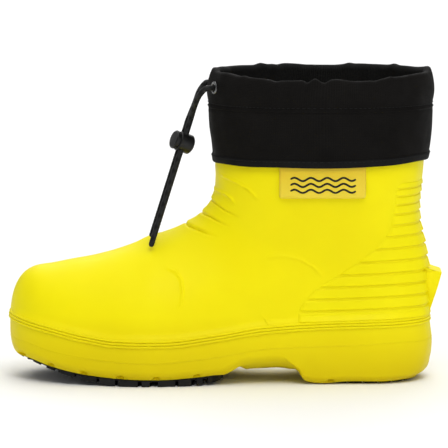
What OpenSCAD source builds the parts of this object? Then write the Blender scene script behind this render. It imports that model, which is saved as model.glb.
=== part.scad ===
// Ankle-high moulded foam deck boot, left foot, with a drawstring cuff and a cord lock.
// Millimetres. Toe towards -X, heel towards +X, outer side of the foot towards -Y, ground at z = 0.

/* [Foam shell] */
// Wall of the foam upper
wall = 4.5; // [4:0.5:5]
// Half width of the shaft at its top edge
shaft_w = 52.5; // [51:0.5:53]
// Half width of the sole at the ball of the foot
ball_w = 55; // [53:0.5:57]
// Half width of the sole at the heel
heel_w = 39.5; // [38:0.5:41]
// How far the heel kick spur stands out
spur_out = 9; // [6:0.5:10]

/* [Soles] */
// Thickness of the flat web that carries the forefoot lugs
web_t = 1.6; // [1:0.2:2]
// Width of the grooves between the lugs
groove_w = 5; // [4:0.5:7]
// Thickness of the footbed
footbed_t = 5; // [3:0.5:7]

/* [Cuff] */
// Thickness of the cuff fabric
cloth_t = 1.2; // [1:0.1:1.4]
// Depth of the drawcord tunnel, outer skin to inner skin
tunnel_d = 8; // [7.8:0.1:9]
// Height of the seam below the drawcord tunnel
seam_z = 196; // [194:1:197]

/* [Drawcord and lock] */
// Diameter of the drawcord
cord_d = 4; // [3.6:0.1:4]
// Distance between the two strands inside the lock
strand_gap = 4.3; // [4.2:0.1:4.4]
// Outer diameter of the cord lock
lock_d = 14; // [14:0.2:15]
// Length of the cord lock's barrel
lock_l = 10.8; // [10.8:0.2:12]
// Travel of the cord lock's button
press = 1.5; // [1:0.1:1.6]
// Turn of the lock about the strands, in degrees
lock_turn = 25; // [0:5:35]

/* [Hidden] */

foam = [0.96, 0.90, 0.10];
rubber = [0.07, 0.07, 0.07];
cloth = [0.09, 0.09, 0.08];
tpu = [0.86, 0.76, 0.22];

// Sections stand upright in front of the pivot and fan out around it behind.
pivot = [-45, 168];
toe_pitch = 0.4; // section steps for each millimetre in front of the pivot
toe_x = -154;
toe_z = 38;
side_steps = 14;
floor_steps = 4;

// Outlines as [x, z] points: vamp and throat, underside, and the back of the heel as [z, x].
top_line = [
    [-154, 79], [-140, 79.8], [-126, 81.2], [-110, 84.3], [-95, 87.2], [-80, 91.3], [-65, 96.5],
    [-50, 103], [-38, 106.5], [-27, 111.5], [-18.5, 117.2], [-12.5, 123.5], [-9, 130], [-7.3, 137],
    [-6.8, 144], [-7, 154], [-7, 168]
];
under_line = [
    [-154, 19], [-140, 17.5], [-126, 13.5], [-112, 10.2], [-96, 7.5], [-78, 5.8], [-55, 5],
    [-30, 5.5], [-8, 7.6], [0, 8.2], [6, 11], [12, 14.5], [30, 16.3], [44, 15.8], [49, 12], [55, 4],
    [59, 2], [90, 2], [125, 2]
];
back_line = [
    [2.5, 138], [6.5, 144], [16, 147], [28, 148], [37, 147], [46, 146], [66, 145.8], [76, 145.6],
    [86, 144.2], [95, 142.6], [104, 140.6], [114, 138.8], [124, 138.5], [136, 139.6], [150, 141.2],
    [168, 142]
];
insole_line = [
    [-154, 30], [-140, 27], [-120, 22], [-96, 19.5], [-70, 18], [-45, 18], [-15, 19], [15, 22],
    [45, 25], [80, 25.5], [112, 25.5]
];
inner_back_line = [
    [27.5, 130], [34, 138], [44, 140.5], [60, 140.5], [76, 140.3], [88, 138.5], [98, 136], [110, 133.8],
    [122, 133.2], [134, 134], [148, 135.8], [168, 137]
];
spur_line = [[146, 47.5], [150, 60.5], [145.5 + spur_out, 76.6]];

// Half width of the sole along x, sideways drift of its middle, and half width up the shaft.
plan = [
    [-154, 50], [-95, 52.5], [-60, ball_w], [-30, ball_w - 3], [0, 46.5], [30, heel_w + 2], [60, heel_w],
    [90, heel_w], [150, heel_w]
];
drift = [[-154, 7], [-110, 5], [-60, 0], [-10, -1], [30, -3], [80, -1], [150, 0]];
shaft = [[60, 38], [90, 42], [120, 48], [150, 52], [168, shaft_w]];
welt = [[-154, 47], [-124, 41], [-102, 36.3], [-77, 32.7], [-45, 32.4], [-5, 36.5], [28, 41.5], [60, 43.5], [150, 46]];
// How deep below the vamp the section reaches its full width, and how square its dome is.
dome_depth = [[-44, 44], [-20, 54], [0, 70], [30, 75], [60, 74], [90, 74.5]];
dome_power = [[-44, 2.3], [-20, 2.05], [0, 1.8], [30, 1.9], [60, 2.15], [90, 2.3]];
// Cuff sections as [z, front x, back x, half width].
cuff_line = [
    [156, -8.7, 144.5, 55.8], [168, -9.6, 146.3, 56.6], [182, -11.4, 147.4, 57], [196, -12, 147.8, 57],
    [204, -11.6, 147.8, 57], [212, -10, 147.3, 56.6], [221, -8, 146.6, 55.6]
];
cuff_power = 2.3;
rim_z = 219.5;

// ---- curves ----
function clamp01(u) = max(0, min(1, u));
function ease(a, b, x) = let (u = clamp01((x - a) / (b - a))) u * u * (3 - 2 * u);
function mix(a, b, k) = a + (b - a) * k;
function dome(u, n) = pow(1 - pow(1 - clamp01(u), n), 1 / n);
function span_of(x, t, i = 0) = i >= len(t) - 2 || x < t[i + 1][0] ? i : span_of(x, t, i + 1);
function secant(t, i) = (t[i + 1][1] - t[i][1]) / (t[i + 1][0] - t[i][0]);
function slope(t, i) =
    i == 0 ? secant(t, 0) : i == len(t) - 1 ? secant(t, i - 1) :
    let (a = secant(t, i - 1), b = secant(t, i)) a * b <= 0 ? 0 : 2 * a * b / (a + b);
// A smooth curve through [key, value] points that never overshoots them.
function curve(x, t) =
    let (i = span_of(x, t), h = t[i + 1][0] - t[i][0], u = clamp01((x - t[i][0]) / h), v = 1 - u)
    t[i][1] * (1 + 2 * u) * v * v + t[i + 1][1] * (3 - 2 * u) * u * u
    + h * (slope(t, i) * u * v * v - slope(t, i + 1) * u * u * v);
function column(t, k) = [for (p = t) [p[0], p[k]]];
function swap(t) = [for (p = t) [p[1], p[0]]];

// ---- sections of the shell: s is the section, r the distance from the pivot's level ----
function section_at(p) = p[0] < pivot[0] ? (p[0] - pivot[0]) * toe_pitch : atan2(p[0] - pivot[0], pivot[1] - p[1]);
function reach(p) = p[0] < pivot[0] ? pivot[1] - p[1] : norm(p - pivot);
function polar(line) = [for (p = line) [section_at(p), reach(p)]];
function spot(s, r) = s < 0 ? [pivot[0] + s / toe_pitch, pivot[1] - r] : pivot + r * [sin(s), -cos(s)];

top_r = polar(top_line);
under_r = polar(concat(under_line, swap(back_line)));
insole_r = polar(concat(insole_line, swap(inner_back_line)));
spur_r = polar(spur_line);
spur_low = spur_r[0][0];
spur_high = spur_r[2][0];

// Towards the toe both edges of a section close on the toe's own level.
function toe_round(s, r, front, level, length) =
    s >= 0 ? r : let (mid = pivot[1] - level) mid + (r - mid) * dome((spot(s, 0)[0] - front) / length, 2.6);
// skin is 0 for the outside of the shell, and the thickness taken off it for anything inside.
function near_r(s, skin) =
    toe_round(s, curve(s, top_r) + skin, toe_x + 1.5 * skin, skin > 0 ? 48 : toe_z, 26);
function far_r(s, skin) =
    toe_round(s, skin > 0 ? curve(s, insole_r) - (skin - wall) : curve(s, under_r),
        toe_x + 1.5 * skin, skin > 0 ? 48 : toe_z, skin > 0 ? 20 : 10);
function round_back(x, start, end, n) = x <= start ? 1 : pow(max(0, 1 - pow(min(1, (x - start) / (end - start)), n)), 1 / n);

// Half width of the shell at the point p = [x, z], on section s at distance r.
function half_width(s, r, skin) =
    let (
        p = spot(s, r), x = p[0], z = p[1],
        low = curve(x, plan) * dome((x - toe_x - 1.5 * skin) / 62, 2.3) - 2 * ease(0, 6, z - curve(x, welt)),
        blend = ease(60, 150, z) * ease(-60, 10, x),
        full = mix(low, curve(z, shaft), blend) - skin,
        crown = dome((r - near_r(s, skin)) / (curve(s, dome_depth) - skin), curve(s, dome_power)),
        start = mix(100, 67, ease(40, 150, z)),
        end = curve(z, skin > 0 ? inner_back_line : back_line) - max(0, skin - wall),
        left = far_r(s, skin) - r,
        corner = skin > 0 ? 9 * pow(clamp01(1 - left / 14), 2) : 3.5 * pow(clamp01(1 - left / 6), 2)
    )
    max(2.5 * clamp01(r - near_r(s, skin)), full * crown * round_back(x, start, end, 2.35) - corner);
function side_of(x, z, skin = 0) = half_width(section_at([x, z]), reach([x, z]), skin);
function middle_of(x, z) = curve(x, drift) * (1 - ease(50, 110, z));

function in_spur(s) = s >= spur_low && s <= spur_high;
function outer_far(s) = in_spur(s) ? max(far_r(s, 0), curve(s, spur_r)) : far_r(s, 0);
function spur_half(s, r) =
    in_spur(s) && r > far_r(s, 0) - 6 ? mix(8, 15, ease(spur_low, spur_low + 5, s)) - 0.2 * max(0, r - far_r(s, 0)) : 0;
// The shank: under the arch the middle of the sole hangs lower than its edges.
function shank(x, y) = 8 * ease(6, 16, x) * (1 - ease(44, 54, x)) * (1 - pow(abs(y), 3));

// One closed ring of a section, from the vamp down the outer side, across, and up the inner side.
function ring(s, skin) =
    let (
        n = side_steps, near = near_r(s, skin), far = skin > 0 ? far_r(s, skin) : outer_far(s),
        rows = [for (j = [0:n]) mix(near, far, (1 - cos(180 * j / n)) / 2)],
        half = [for (r = rows) max(half_width(s, min(r, far_r(s, skin)), skin), skin > 0 ? 0 : spur_half(s, r))],
        at = [for (r = rows) spot(s, r)]
    )
    concat(
        [for (j = [0:n]) [at[j][0], middle_of(at[j][0], at[j][1]) - (j == 0 ? 0 : half[j]), at[j][1]]],
        [for (k = [1:floor_steps - 1])
            let (y = 2 * k / floor_steps - 1)
            [at[n][0], middle_of(at[n][0], at[n][1]) + y * half[n],
                at[n][1] - (skin > 0 || s > 40 ? 0 : shank(at[n][0], y))]],
        [for (j = [n:-1:1]) [at[j][0], middle_of(at[j][0], at[j][1]) + half[j], at[j][1]]]
    );

// ---- solids from rings ----
function wrap_faces(rings, sides, closed) =
    [for (i = [0:rings - (closed ? 1 : 2)], j = [0:sides - 1])
        let (a = i * sides, b = ((i + 1) % rings) * sides, k = (j + 1) % sides)
        each [[a + j, b + j, b + k], [a + j, b + k, a + k]]];
module skin_rings(rings, closed = false) {
    sides = len(rings[0]);
    last = (len(rings) - 1) * sides;
    caps = closed ? [] : [[for (j = [0:sides - 1]) j], [for (j = [sides - 1:-1:0]) last + j]];
    polyhedron(points = [for (r = rings) each r], faces = concat(wrap_faces(len(rings), sides, closed), caps));
}

toe_steps = [for (d = [0.4, 1.5, 3.5, 6.5, 10, 14, 19, 25, 33, 42, 52, 63, 74, 85, 97]) d];
fan_steps = [for (s = [0:3:27]) s];
heel_steps = [30.2, 31.05, 31.4, 32.1, 34, 37, 40, 43, 46, 47.9, 49.6, 51.6, 54, 56];
back_steps = concat(
    [spur_low, 60, 62.5, 64, spur_high, spur_high + 0.2],
    [for (s = [68:3:89]) s], [90]
);
function toe_sections(front, skip = 0) = [for (i = [skip:len(toe_steps) - 1]) (front + toe_steps[i] - pivot[0]) * toe_pitch];

module boot_shell() {
    outer = concat(toe_sections(toe_x), fan_steps, heel_steps, back_steps);
    inner = concat(toe_sections(toe_x + 1.5 * wall), [for (s = [0:4:44]) s], [47, 49.5, 51, 52, 53, 55],
        [for (s = [58:4:86]) s], [90]);
    rings = concat(
        [for (s = outer) ring(s, 0)],
        [for (i = [len(inner) - 1:-1:0]) ring(inner[i], wall)]
    );
    color(foam) skin_rings(rings);
}

// ---- soles ----
// A band under the forefoot between two depths below the sole, inset from its edge.
lug_drop = [[-154, 2.2], [-140, 2.3], [-126, 2.6], [-110, 3.4], [-90, 4.6], [-70, 5.6], [-40, 5.6], [0, 5.2]];
function under_z(x) = curve(x, under_line);
function lug_z(x) = max(0, under_z(x) - curve(x, lug_drop));
function tread_half(x, inset) = max(1, curve(x, plan) * dome((x + 148) / 58, 2.3) * dome((2 - x) / 16, 2) - inset);
module tread_band(full, inset) {
    rings = [for (x = [for (i = [0:30]) mix(-147, 1, i / 30)])
        let (top = under_z(x) - (full ? 0.45 : 0.02), low = full ? lug_z(x) : under_z(x) - web_t, h = tread_half(x, inset), m = curve(x, drift))
        [[x, m - h, top], [x, m - h, low], [x, m, low], [x, m + h, low], [x, m + h, top]]];
    skin_rings(rings);
}
// Lugs along the edges, as [front x, length].
edge_lugs = [
    [-142.6, 9], [-129, 6], [-120, 12], [-103, 11], [-90, 11.4], [-76.5, 14], [-59.5, 5.5], [-48, 12],
    [-33.8, 9], [-21, 4], [-13, 9]
];
module lug_field() {
    for (x = [-150:13:-5])
        for (side = [-1, 1])
            translate([x, 0, -1]) linear_extrude(40) mirror([0, side < 0 ? 1 : 0])
                polygon([[0, 2], [8, 2], [4, 19], [-4, 19]]);
    for (lug = edge_lugs)
        for (side = [-1, 1])
            translate([lug[0], 0, -1]) linear_extrude(40) mirror([0, side < 0 ? 1 : 0])
                polygon([[3, 19 + groove_w], [lug[1] + 3, 19 + groove_w], [lug[1] - 1, 70], [-1, 70]]);
}
module forefoot_tread() {
    color(rubber) resize([0, 0, 0]) union() {
        tread_band(false, 5);
        intersection() {
            tread_band(true, 3.5);
            lug_field();
        }
    }
}

heel_front = 66;
heel_back = 134;
module heel_outline(inset) {
    round_x = heel_back - 30;
    h = heel_w - 8 - inset;
    polygon(concat(
        [[heel_front + inset, h - 4], [heel_front + inset, 4 - h], [heel_front + inset + 4, -h]],
        [for (a = [-90:10:90]) [round_x + (heel_back - inset - round_x) * cos(a), h * sin(a)]],
        [[heel_front + inset + 4, h]]
    ));
}
module heel_tread() {
    color(rubber) difference() {
        linear_extrude(2) heel_outline(0);
        for (x = [76:11:125])
            translate([x, 0, 0]) for (side = [-1, 1]) rotate([0, 0, side * 70]) translate([22, 0, 0])
                cube([48, 2.4, 2], center = true);
    }
}

module footbed() {
    steps = [for (i = [0:26]) -132 + i * 9.9];
    function bed(x) = curve(x, insole_line) + 0.9 + 2 * ease(112, 128, x);
    rings = [for (x = steps)
        let (low = bed(x), high = low + footbed_t * (1 - 0.55 * ease(-110, -139, x)), m = middle_of(x, low),
            wide = side_of(x, high, wall + 2), narrow = min(wide, side_of(x, low + 0.6, wall + 2)) - 0.6)
        [[x, m - narrow, low], [x, m + narrow, low], [x, m + wide, mix(low, high, 0.8)],
            [x, m + wide - 1, high], [x, m, high - 0.4], [x, m - wide + 1, high], [x, m - wide, mix(low, high, 0.8)]]];
    color([0.25, 0.25, 0.24]) skin_rings(rings);
}

// ---- cuff ----
cuff_sides = 56;
// A level ring of the cuff at height z, grown by out; sides run round from the back over the inner side.
function cuff_point(a, z, out) =
    let (
        front = curve(z, column(cuff_line, 1)) - out, back = curve(z, column(cuff_line, 2)) + out,
        half = curve(z, column(cuff_line, 3)) + out,
        c = cos(a), k = sin(a), e = 2 / cuff_power
    )
    [(front + back) / 2 + (back - front) / 2 * sign(c) * pow(abs(c), e), half * sign(k) * pow(abs(k), e), z];
function cuff_ring(z, out) = [for (j = [0:cuff_sides - 1]) cuff_point(360 * j / cuff_sides, z, out)];
// A profile of [z, out] points swept round the cuff.
module cuff_sweep(profile) {
    skin_rings([for (p = profile) cuff_ring(p[0], p[1])], closed = true);
}
module cuff_band() {
    outside = [for (z = [157, 165, 175, 186, seam_z]) [z, 0]];
    inside = [for (i = [len(outside) - 1:-1:0]) [outside[i][0], -cloth_t]];
    color(cloth) cuff_sweep(concat(inside, outside));
}
function tunnel_bulge(z) = 1.2 * sin(180 * clamp01((z - seam_z) / (rim_z - seam_z)));
module tunnel_skin() {
    deep = -tunnel_d;
    high = [for (z = [seam_z, 201, 206, 211, 215, 218]) [z, tunnel_bulge(z) - 0.8]];
    low = [for (p = high) [p[0], p[1] - cloth_t]];
    inner = [for (z = [218, 214, 208, 201, seam_z]) [z, deep]];
    inner_void = [for (z = [seam_z, 201, 208, 214, 217.6]) [z, deep + cloth_t]];
    profile = concat(
        high, [[rim_z + 1, -1.9], [rim_z + 1.7, -4], [rim_z + 1, -6.4]], inner,
        inner_void, [[rim_z - 0.4, -4.2]], [for (i = [len(low) - 1:-1:0]) low[i]]
    );
    cuff_sweep(profile);
}

// Eyelets stand on the outer skin of the tunnel near the front.
eyelet_a = 180 - 19;
eyelet_z = 209.5;
eyelet_bore = 5.2;
eyelet_shank = 6.6;
eyelet_flange = 9.4;
skin_out = tunnel_bulge(eyelet_z) - 0.8;
function unit(v) = v / norm(v);
function eyelet_spot(side) = let (p = cuff_point(side > 0 ? eyelet_a : 360 - eyelet_a, eyelet_z, skin_out)) p;
function eyelet_way(side) =
    let (
        a = side > 0 ? eyelet_a : 360 - eyelet_a,
        t = cuff_point(a + 2, eyelet_z, skin_out) - cuff_point(a - 2, eyelet_z, skin_out)
    ) unit([t[1], -t[0], 0]);
// Local +Z points out of the cuff, through the eyelet.
module at_eyelet(side) {
    way = eyelet_way(side);
    translate(eyelet_spot(side)) rotate([0, 0, atan2(way[1], way[0])]) rotate([0, 90, 0]) children();
}
module cuff_tunnel() {
    color(cloth) difference() {
        tunnel_skin();
        for (side = [-1, 1]) at_eyelet(side) translate([0, 0, -3]) cylinder(d = eyelet_shank + 0.3, h = 6, $fn = 32);
    }
}
module eyelet(side) {
    flange_z = 0.35;
    color([0.35, 0.35, 0.36]) at_eyelet(side) rotate_extrude($fn = 48) polygon([
        [eyelet_bore / 2, -2.6], [eyelet_shank / 2, -2.6], [eyelet_shank / 2, flange_z],
        [eyelet_flange / 2, flange_z], [eyelet_flange / 2, flange_z + 0.3], [eyelet_flange / 2 - 0.6, flange_z + 0.9],
        [eyelet_bore / 2 + 0.5, flange_z + 0.9], [eyelet_bore / 2, flange_z + 0.4]
    ]);
}
module eyelet_washer(side) {
    color([0.35, 0.35, 0.36]) at_eyelet(side) translate([0, 0, -2.55]) difference() {
        cylinder(d = eyelet_flange - 1.2, h = 0.4, $fn = 48);
        translate([0, 0, -1]) cylinder(d = eyelet_shank + 0.1, h = 3, $fn = 48);
    }
}

// The lining hangs from the tunnel's inner skin and runs down inside the shell.
module cuff_lining() {
    levels = [seam_z + 4, 190, 184, 178, 172];
    depth = [8.4, 8.2, 8.1, 8.3, 8.6];
    sections = [90, 86, 82, 78, 74];
    sides = 40;
    function upper(z, out) = [for (j = [0:sides - 1]) cuff_point(180 + 360 * j / sides, z, -out)];
    // The same ring, taken from a section of the shell.
    function lower(s, skin) =
        let (near = near_r(s, skin), far = far_r(s, skin))
        [for (j = [0:sides - 1])
            let (
                c = cos(360 * j / sides), k = sin(360 * j / sides), u = (1 - sign(c) * pow(abs(c), 2 / cuff_power)) / 2,
                r = mix(near, far, u), p = spot(s, r), h = half_width(s, min(r, far - 0.05), skin),
                flat = j == 0 || j == sides / 2 ? 0 : h
            ) [p[0], -sign(k) * flat, p[1]]];
    outside = concat([for (i = [0:4]) upper(levels[i], depth[i])], [for (s = sections) lower(s, wall + 0.8)]);
    inside = concat([for (i = [0:4]) upper(levels[i], depth[i] + 1)], [for (s = sections) lower(s, wall + 1.8)]);
    count = len(inside);
    color(cloth) skin_rings(concat([for (i = [count - 1:-1:0]) outside[i]], inside), closed = true);
}
module hem_binding() {
    color(cloth) cuff_sweep([[155.4, -1.3], [155, -0.5], [155.4, 0.5], [158, 0.75], [160.4, 0.6], [160.6, 0.05], [156.9, 0.05], [156.9, -1.3]]);
}

// ---- drawcord and its lock ----
lock_top = [-28, -6, 177];
strand_end = [-53, -23, 98.5];
way = unit(strand_end - lock_top);
level = unit([-1, 0, 0] - ([-1, 0, 0] * way) * way);
axis_b = unit(cos(lock_turn) * level + sin(lock_turn) * unit(cross(way, level)) * (cross(way, level)[1] < 0 ? 1 : -1));
across = cross(axis_b, way);
lock_at = lock_top + way * 8;
// side is -1 for the strand of the outer eyelet and 1 for that of the inner one.
function beside(p, side) = p + across * side * strand_gap / 2 * (across[1] > 0 ? 1 : -1);
outer_route = [[-14.5, -23.5, 208.6], [-18.5, -20.5, 203.5], [-21.5, -14.5, 196]];
inner_route = [[-14.5, 21, 208.6], [-18.5, 15.5, 203.5], [-21.5, 7, 196]];
function strand_route(side) =
    let (e = eyelet_spot(side), w = eyelet_way(side))
    concat([e - w * 1.6, e + w * 1.8, e + w * 5], side < 0 ? outer_route : inner_route,
        [for (d = [-9, -4, 4, 14, 26, 40, 54, 68]) beside(lock_top + way * d, side)],
        [beside(strand_end + way * (side < 0 ? 2 : -5), side)]);

// A smooth line through points, with steps samples in each span.
function through(p, i, u) =
    let (a = p[max(0, i - 1)], b = p[i], c = p[i + 1], d = p[min(len(p) - 1, i + 2)])
    0.5 * (2 * b + (c - a) * u + (2 * a - 5 * b + 4 * c - d) * u * u + (3 * b - 3 * c + d - a) * u * u * u);
function sampled(p, steps) = concat([for (i = [0:len(p) - 2], k = [0:steps - 1]) through(p, i, k / steps)], [p[len(p) - 1]]);
// A tube of diameter d along the points p, whose rings keep one side towards up.
function tube_rings(p, d, sides, up) =
    [for (i = [0:len(p) - 1])
        let (
            t = unit(p[min(len(p) - 1, i + 1)] - p[max(0, i - 1)]),
            a = unit(cross(t, up)), b = cross(a, t)
        )
        [for (j = [0:sides - 1]) p[i] + d / 2 * (a * cos(360 * j / sides) - b * sin(360 * j / sides))]];
module strand(side) {
    color(rubber) skin_rings(tube_rings(sampled(strand_route(side), 3), cord_d, 10, [0.2, 1, 0.1]));
}
// Inside the tunnel the cord runs round the back, from just behind one eyelet to the other.
module drawcord_in_tunnel() {
    depth = -4.2;
    turn = [for (side = [1, -1]) eyelet_spot(side) - eyelet_way(side) * 1.7];
    run = [for (a = [eyelet_a - 6:-8:-(eyelet_a - 6) - 0.1]) cuff_point(a, eyelet_z, depth)];
    path = concat([turn[0], turn[0] - eyelet_way(1) * 1], run, [cuff_point(6 - eyelet_a, eyelet_z, depth), turn[1] - eyelet_way(-1) * 1, turn[1]]);
    color(rubber) skin_rings(tube_rings(path, cord_d - 0.6, 8, [0, 0, 1]));
}
// Lock frame: +Z towards the button, +X along the strands, +Y from strand to strand.
module at_lock() {
    multmatrix([
        [way[0], across[0], axis_b[0], lock_at[0]], [way[1], across[1], axis_b[1], lock_at[1]],
        [way[2], across[2], axis_b[2], lock_at[2]]
    ]) children();
}
lock_bore = 11.7;
stem_d = lock_bore - 0.3;
hole_l = cord_d + 0.5;
mouth_z = 3.6;
stem_end = mouth_z - 6.8;
module strand_slot() {
    for (side = [-1, 1]) translate([-lock_d, side * strand_gap / 2, 0]) rotate([0, 90, 0])
        cylinder(d = hole_l, h = 2 * lock_d, $fn = 32);
    cube([2 * lock_d, strand_gap, hole_l], center = true);
}
module cord_lock_barrel() {
    color(rubber) at_lock() difference() {
        translate([0, 0, mouth_z - lock_l]) rotate_extrude($fn = 64) polygon([
            [0, 0], [lock_d / 2 - 1.2, 0], [lock_d / 2, 1.2], [lock_d / 2, lock_l - 0.5], [lock_d / 2 - 0.5, lock_l], [0, lock_l]
        ]);
        translate([0, 0, mouth_z - lock_l + 1]) cylinder(d = lock_bore, h = lock_l, $fn = 64);
        strand_slot();
    }
}
module cord_lock_button() {
    cap_z = mouth_z + press + 0.2;
    color(rubber) at_lock() difference() {
        union() {
            translate([0, 0, cap_z]) rotate_extrude($fn = 64) polygon([
                [0, 0], [6.7, 0], [6.7, 1.2], [5.9, 2], [0, 2.2]
            ]);
            translate([0, 0, stem_end]) cylinder(d = stem_d, h = cap_z - stem_end + 0.1, $fn = 64);
        }
        // the slot runs further towards the cap, so that the button can be pressed past the strands
        translate([0, 0, press / 2]) cube([2 * lock_d, strand_gap + hole_l - 0.1, hole_l - 0.1 + press], center = true);
        translate([0, 0, stem_end - 0.1]) cylinder(d = 8, h = 0.6, $fn = 48);
    }
}
module cord_lock_spring() {
    turns = 2;
    low = mouth_z - lock_l + 1.45;
    high = stem_end + 0.05;
    p = [for (i = [0:turns * 14]) [3.2 * cos(i * 360 / 14), 3.2 * sin(i * 360 / 14), mix(low, high, i / (turns * 14))]];
    color([0.7, 0.7, 0.72]) at_lock() skin_rings(tube_rings(p, 0.6, 6, [0, 0, 1]));
}

// ---- side label ----
label_x = [39, 99];
label_z = [134, 164];
label_t = 1;
function label_gap(z) = mix(2.2, 0.7, ease(136, 156, z));
// A patch on the outer side of the shaft, between two heights, standing off the shell.
module side_patch(x0, x1, low, high, off, thick, wave = 0) {
    nx = 14;
    nz = 5;
    function skin_y(x, z, o) = middle_of(x, z) - side_of(x, z) - label_gap(z) - o;
    rings = [for (i = [0:nx])
        let (x = mix(x0, x1, i / nx), lift = wave * sin(540 * i / nx))
        concat(
            [for (k = [0:nz]) let (z = mix(low, high, k / nz) + lift) [x, skin_y(x, z, off), z]],
            [for (k = [nz:-1:0]) let (z = mix(low, high, k / nz) + lift) [x, skin_y(x, z, off + thick), z]]
        )];
    skin_rings(rings);
}
module side_label() {
    color(tpu) side_patch(label_x[0], label_x[1], label_z[0], label_z[1], 0, label_t);
}
module label_mark() {
    color(rubber) for (low = [139, 143.6]) side_patch(50, 88, low, low + 2.4, label_t, 0.3, 1.1);
}

boot_shell();
forefoot_tread();
heel_tread();
footbed();
cuff_band();
cuff_tunnel();
cuff_lining();
hem_binding();
eyelet(-1);  // eyelet_outer_side
eyelet(1);  // eyelet_inner_side
eyelet_washer(-1);  // eyelet_washer_outer_side
eyelet_washer(1);  // eyelet_washer_inner_side
drawcord_in_tunnel();
strand(-1);  // drawcord_outer_strand
strand(1);  // drawcord_inner_strand
cord_lock_barrel();
cord_lock_button();
cord_lock_spring();
side_label();
label_mark();
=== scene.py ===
"""The looks of an ankle-high moulded foam deck boot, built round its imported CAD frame."""

import math

import bmesh
import bpy
import numpy as np
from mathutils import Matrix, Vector


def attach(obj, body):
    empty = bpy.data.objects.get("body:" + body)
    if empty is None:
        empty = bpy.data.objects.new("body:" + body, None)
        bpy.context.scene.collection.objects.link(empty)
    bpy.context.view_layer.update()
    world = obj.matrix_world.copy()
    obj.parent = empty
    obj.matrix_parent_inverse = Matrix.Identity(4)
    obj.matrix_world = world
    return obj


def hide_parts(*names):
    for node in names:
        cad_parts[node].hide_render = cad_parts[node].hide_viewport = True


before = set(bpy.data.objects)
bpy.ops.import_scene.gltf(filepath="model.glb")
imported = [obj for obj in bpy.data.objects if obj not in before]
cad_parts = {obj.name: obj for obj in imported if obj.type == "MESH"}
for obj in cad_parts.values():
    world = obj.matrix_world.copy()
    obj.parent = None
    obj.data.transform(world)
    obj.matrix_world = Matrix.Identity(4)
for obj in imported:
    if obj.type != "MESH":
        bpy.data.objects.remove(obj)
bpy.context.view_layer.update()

MM = 0.001
scene = bpy.context.scene

# ---------------------------------------------------------------- camera and light
ELEVATION = math.radians(7)
FRAME_WIDTH = 0.320  # what the picture's width spans at the boot, in metres
CAMERA_DISTANCE = 3.5
AIM = Vector((-0.0007, 0, 0.1099))
SENSOR_WIDTH = 36
FLOOR_HALF = 7  # half a side of the floor, in metres
WORLD_STRENGTH = 0.36


def make_camera():
    data = bpy.data.cameras.new("camera")
    data.sensor_width = SENSOR_WIDTH
    data.lens = SENSOR_WIDTH * CAMERA_DISTANCE / FRAME_WIDTH
    data.clip_end = 50
    camera = bpy.data.objects.new("camera", data)
    scene.collection.objects.link(camera)
    back = Vector((0, -math.cos(ELEVATION), math.sin(ELEVATION)))
    camera.location = AIM + back * CAMERA_DISTANCE
    camera.rotation_mode = "QUATERNION"
    camera.rotation_quaternion = (-back).to_track_quat("-Z", "Y")
    scene.camera = camera


def area_light(name, place, aim, size, watts):
    data = bpy.data.lights.new(name, "AREA")
    data.size = size
    data.energy = watts
    lamp = bpy.data.objects.new(name, data)
    lamp.location = place
    lamp.rotation_mode = "QUATERNION"
    lamp.rotation_quaternion = (Vector(aim) - Vector(place)).to_track_quat("-Z", "Y")
    scene.collection.objects.link(lamp)


def make_stage():
    area_light("key", (0.2, -1.4, 1.7), (0, 0, 0.1), 0.9, 15)
    area_light("fill", (1.2, -1.4, 0.7), (0, 0, 0.1), 1.4, 4)
    area_light("rim", (0.3, 1.4, 1.3), (0, 0, 0.15), 1.0, 4)
    area_light("overhead", (0, 0.5, 4.6), (0, 0.5, 0), 7, 170)
    area_light("backdrop", (0, 3.6, 2.4), (0, 3.3, 0), 2.5, 40)
    world = bpy.data.worlds.new("studio")
    world.use_nodes = True
    background = world.node_tree.nodes["Background"]
    background.inputs["Color"].default_value = (1, 1, 1, 1)
    background.inputs["Strength"].default_value = WORLD_STRENGTH
    scene.world = world
    scene.view_settings.view_transform = "Standard"
    r = FLOOR_HALF
    mesh = bpy.data.meshes.new("floor")
    mesh.from_pydata([(-r, -r, 0), (r, -r, 0), (r, r, 0), (-r, r, 0)], [], [(0, 1, 2, 3)])
    floor = bpy.data.objects.new("floor", mesh)
    scene.collection.objects.link(floor)
    paint = bpy.data.materials.new("floor_paint")
    paint.use_nodes = True
    shader = paint.node_tree.nodes["Principled BSDF"]
    shader.inputs["Base Color"].default_value = (0.9, 0.9, 0.9, 1)
    shader.inputs["Roughness"].default_value = 0.9
    mesh.materials.append(paint)


make_camera()
make_stage()


# ---------------------------------------------------------------- curves, in millimetres
def clamp01(u):
    return np.clip(u, 0, 1)


def ease(a, b, x):
    u = clamp01((x - a) / (b - a))
    return u * u * (3 - 2 * u)


def mix(a, b, k):
    return a + (b - a) * k


def dome(u, n):
    return (1 - (1 - clamp01(u)) ** n) ** (1 / n)


def curve(x, table):
    """A smooth curve through (key, value) pairs that never overshoots them."""
    t = np.array(table, float)
    k, v = t[:, 0], t[:, 1]
    x = np.asarray(x, float)
    h = np.diff(k)
    secant = np.diff(v) / h
    slope = np.empty(len(k))
    slope[0], slope[-1] = secant[0], secant[-1]
    a, b = secant[:-1], secant[1:]
    slope[1:-1] = np.where(a * b > 0, 2 * a * b / np.where(a * b > 0, a + b, 1), 0)
    i = np.clip(np.searchsorted(k, x, side="right") - 1, 0, len(k) - 2)
    u = clamp01((x - k[i]) / h[i])
    w = 1 - u
    ends = v[i] * (1 + 2 * u) * w * w + v[i + 1] * (3 - 2 * u) * u * u
    return ends + h[i] * (slope[i] * u * w * w - slope[i + 1] * u * u * w)


def swap(line):
    return [(b, a) for a, b in line]


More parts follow.
